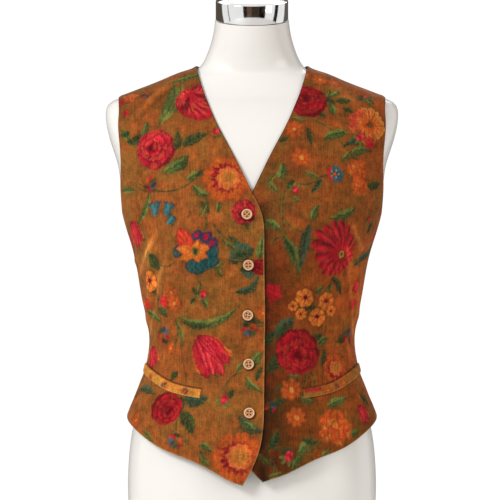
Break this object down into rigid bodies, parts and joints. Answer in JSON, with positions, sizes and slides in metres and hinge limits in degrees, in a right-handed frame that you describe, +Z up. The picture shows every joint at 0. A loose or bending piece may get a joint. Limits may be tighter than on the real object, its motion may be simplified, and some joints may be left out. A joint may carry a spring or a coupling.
{
  "type": "waistcoat on a dress form",
  "caption": "Women's fitted waistcoat with a V neck, button front, pointed hem and curved pocket welts, on a smooth limbless dress form with a capped neck.",
  "frame": {"origin": "middle of the dress form's flat base, on the surface it stands on", "axes": "+Z up along the torso, the front faces -Y, the wearer's left is +X"},
  "size_m": [0.3866, 0.245, 0.7478],
  "materials": {
    "printed_velveteen": "brown-ochre ribbed velveteen with a floral print in crimson, orange, teal and green",
    "back_cloth": "plain dark satin-backed lining cloth",
    "welt_velveteen": "the same velveteen, lighter ground",
    "button_wood": "pale turned wood, satin",
    "form_white": "warm white gloss",
    "cap_chrome": "polished"
  },
  "bodies": {
    "root": {"front_right": "printed_velveteen", "front_left": "printed_velveteen", "back_right": "back_cloth", "back_left": "back_cloth", "welt_right": "welt_velveteen", "welt_left": "welt_velveteen", "button_1": "button_wood", "button_2": "button_wood", "button_3": "button_wood", "button_4": "button_wood", "button_5": "button_wood", "form": "form_white", "neck_cap": "cap_chrome"}
  },
  "joints": []
}
